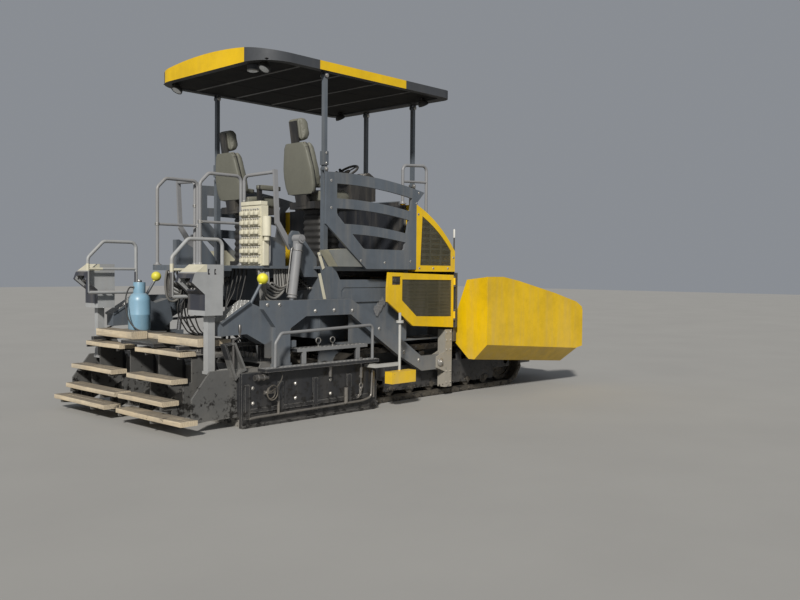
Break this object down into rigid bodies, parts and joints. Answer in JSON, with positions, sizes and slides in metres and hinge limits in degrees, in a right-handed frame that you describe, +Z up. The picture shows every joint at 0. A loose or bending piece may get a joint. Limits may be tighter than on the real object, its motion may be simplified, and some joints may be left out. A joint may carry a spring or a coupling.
{
  "type": "tracked asphalt paver",
  "caption": "Tracked asphalt paver with folding hopper wings, slat conveyors, augers, twin seats under a folding canopy, and a towed, lifting screed with sliding extensions.",
  "frame": {"origin": "on the ground, under the middle of the machine's length and width", "axes": "+X forward towards the hopper, +Y to the operators' left, +Z up"},
  "size_m": [6.842, 3.44, 4.04],
  "materials": {
    "grey_paint": "blue-grey enamel, dusty",
    "yellow_paint": "safety yellow enamel",
    "roof_paint": "yellow and grey enamel over a black lining",
    "dark_steel": "black paint, worn and tarry",
    "track_steel": "bare steel, dusty with tar",
    "worn_steel": "bare steel, worn by asphalt",
    "tube_paint": "light grey enamel",
    "grille_black": "black perforated sheet",
    "seat_fabric": "grey olive seat cloth",
    "seat_shell": "black plastic",
    "cream_paint": "cream enamel",
    "wood": "weathered planks on steel brackets",
    "bottle_paint": "light blue enamel",
    "rod_chrome": "hard chrome",
    "hose_rubber": "black rubber, dusty",
    "white_paint": "off-white enamel"
  },
  "bodies": {
    "root": {"main_frame": "grey_paint", "tracks_right": "track_steel", "tracks_left": "track_steel", "running_gear": "track_steel", "track_frames": "grey_paint", "hopper_body": "dark_steel", "conveyors": "worn_steel", "engine": "dark_steel", "engine_hood": "yellow_paint", "hood_grilles": "grille_black", "platform": "grey_paint", "guards": "grey_paint", "handrails": "tube_paint", "seat_frames": "seat_shell", "seat_pads": "seat_fabric", "service_boxes": "cream_paint", "hoses": "hose_rubber", "auger_mount": "grey_paint", "tow_columns": "grey_paint"},
    "wing_right": {"wing_right": "yellow_paint"},
    "wing_barrel_right": {"wing_barrel_right": "white_paint"},
    "wing_rod_right": {"wing_rod_right": "rod_chrome"},
    "push_roller_right": {"push_roller_right": "worn_steel"},
    "auger_right": {"auger_right": "worn_steel"},
    "side_door_right": {"side_door_right": "yellow_paint"},
    "extension_right": {"extension_right": "dark_steel", "end_gate_right": "worn_steel", "step_boards_right": "wood", "control_pod_right": "tube_paint", "grade_sensor_right": "yellow_paint"},
    "wing_left": {"wing_left": "yellow_paint"},
    "wing_barrel_left": {"wing_barrel_left": "white_paint"},
    "wing_rod_left": {"wing_rod_left": "rod_chrome"},
    "push_roller_left": {"push_roller_left": "worn_steel"},
    "auger_left": {"auger_left": "worn_steel"},
    "side_door_left": {"side_door_left": "yellow_paint"},
    "extension_left": {"extension_left": "dark_steel", "end_gate_left": "worn_steel", "step_boards_left": "wood", "control_pod_left": "tube_paint", "grade_sensor_left": "yellow_paint"},
    "push_bar": {"push_bar": "worn_steel"},
    "screed": {"tow_arms": "grey_paint", "screed_frame": "dark_steel", "screed_soles": "worn_steel", "walkway": "wood", "gas_bottle": "bottle_paint"},
    "canopy_roof": {"canopy_roof": "roof_paint"},
    "rear_posts": {"rear_posts": "grey_paint"},
    "front_posts": {"front_posts": "grey_paint"},
    "lift_barrels": {"lift_barrels": "grey_paint"},
    "lift_rods": {"lift_rods": "rod_chrome"},
    "console": {"console": "seat_shell"}
  },
  "joints": [
    {"name": "wing_fold_right", "type": "hinge", "parent": "root", "child": "wing_right", "pos_m": [1.879, -0.84, 0.76], "axis": [-1, 0, 0], "range_deg": [0, 70]},
    {"name": "wing_cylinder_right", "type": "hinge", "parent": "root", "child": "wing_barrel_right", "pos_m": [2.579, -0.81, 0.19], "axis": [-1, 0, 0], "range_deg": [0, 14.37]},
    {"name": "wing_rod_slide_right", "type": "slide", "parent": "wing_barrel_right", "child": "wing_rod_right", "axis": [0, -0.5145, 0.8575], "range_m": [0, 0.26249]},
    {"name": "wing_fold_left", "type": "hinge", "parent": "root", "child": "wing_left", "pos_m": [1.879, 0.84, 0.76], "axis": [1, 0, 0], "range_deg": [0, 70]},
    {"name": "wing_cylinder_left", "type": "hinge", "parent": "root", "child": "wing_barrel_left", "pos_m": [2.579, 0.81, 0.19], "axis": [1, 0, 0], "range_deg": [0, 14.37]},
    {"name": "wing_rod_slide_left", "type": "slide", "parent": "wing_barrel_left", "child": "wing_rod_left", "axis": [0, 0.5145, 0.8575], "range_m": [0, 0.26249]},
    {"name": "push_bar_swivel", "type": "hinge", "parent": "root", "child": "push_bar", "pos_m": [3.209, 0, 0.5], "axis": [0, 0, 1], "range_deg": [-3.5, 3.5]},
    {"name": "push_roller_spin_right", "type": "hinge", "parent": "push_bar", "child": "push_roller_right", "pos_m": [3.336, -0.51, 0.5], "axis": [0, 1, 0], "continuous": true},
    {"name": "auger_spin_right", "type": "hinge", "parent": "root", "child": "auger_right", "pos_m": [-1.341, -0.6, 0.4], "axis": [0, 1, 0], "continuous": true},
    {"name": "push_roller_spin_left", "type": "hinge", "parent": "push_bar", "child": "push_roller_left", "pos_m": [3.336, 0.51, 0.5], "axis": [0, 1, 0], "continuous": true},
    {"name": "auger_spin_left", "type": "hinge", "parent": "root", "child": "auger_left", "pos_m": [-1.341, 0.6, 0.4], "axis": [0, 1, 0], "continuous": true},
    {"name": "side_door_right", "type": "hinge", "parent": "root", "child": "side_door_right", "pos_m": [0.714, -1.275, 1.2], "axis": [0, 0, -1], "range_deg": [-80, 0]},
    {"name": "side_door_left", "type": "hinge", "parent": "root", "child": "side_door_left", "pos_m": [0.714, 1.275, 1.2], "axis": [0, 0, 1], "range_deg": [-80, 0]},
    {"name": "screed_lift", "type": "hinge", "parent": "root", "child": "screed", "pos_m": [0.479, 0, 0.45], "axis": [0, 1, 0], "range_deg": [0, 10]},
    {"name": "lift_cylinder", "type": "hinge", "parent": "root", "child": "lift_barrels", "pos_m": [-1.721, 0, 1.95], "axis": [0, -1, 0], "range_deg": [0, 3.06]},
    {"name": "lift_rod_slide", "type": "slide", "parent": "lift_barrels", "child": "lift_rods", "axis": [0.1378, 0, 0.9905], "range_m": [0, 0.41288]},
    {"name": "extension_slide_right", "type": "slide", "parent": "screed", "child": "extension_right", "axis": [0, -1, 0], "range_m": [0, 1]},
    {"name": "extension_slide_left", "type": "slide", "parent": "screed", "child": "extension_left", "axis": [0, 1, 0], "range_m": [0, 1]},
    {"name": "canopy_fold", "type": "hinge", "parent": "root", "child": "rear_posts", "pos_m": [-1.321, 0, 2.75], "axis": [0, 1, 0], "range_deg": [0, 70]},
    {"name": "canopy_level", "type": "hinge", "parent": "rear_posts", "child": "canopy_roof", "pos_m": [-1.321, 0, 3.8], "axis": [0, 1, 0], "range_deg": [-70, 0]},
    {"name": "front_post_fold", "type": "hinge", "parent": "root", "child": "front_posts", "pos_m": [0.789, 0, 2.75], "axis": [0, 1, 0], "range_deg": [0, 70]},
    {"name": "console_slide", "type": "slide", "parent": "root", "child": "console", "axis": [0, 1, 0], "range_m": [-0.5, 0.5]}
  ],
  "couplings": [
    {"joint": "wing_cylinder_right", "follows": "wing_fold_right", "ratio": 0.20527},
    {"joint": "wing_rod_slide_right", "follows": "wing_fold_right", "m_per_rad": 0.21485},
    {"joint": "wing_cylinder_left", "follows": "wing_fold_left", "ratio": 0.20527},
    {"joint": "wing_rod_slide_left", "follows": "wing_fold_left", "m_per_rad": 0.21485},
    {"joint": "lift_cylinder", "follows": "screed_lift", "ratio": 0.30622},
    {"joint": "lift_rod_slide", "follows": "screed_lift", "m_per_rad": 2.3656},
    {"joint": "canopy_level", "follows": "canopy_fold", "ratio": -1},
    {"joint": "front_post_fold", "follows": "canopy_fold", "ratio": 1}
  ]
}
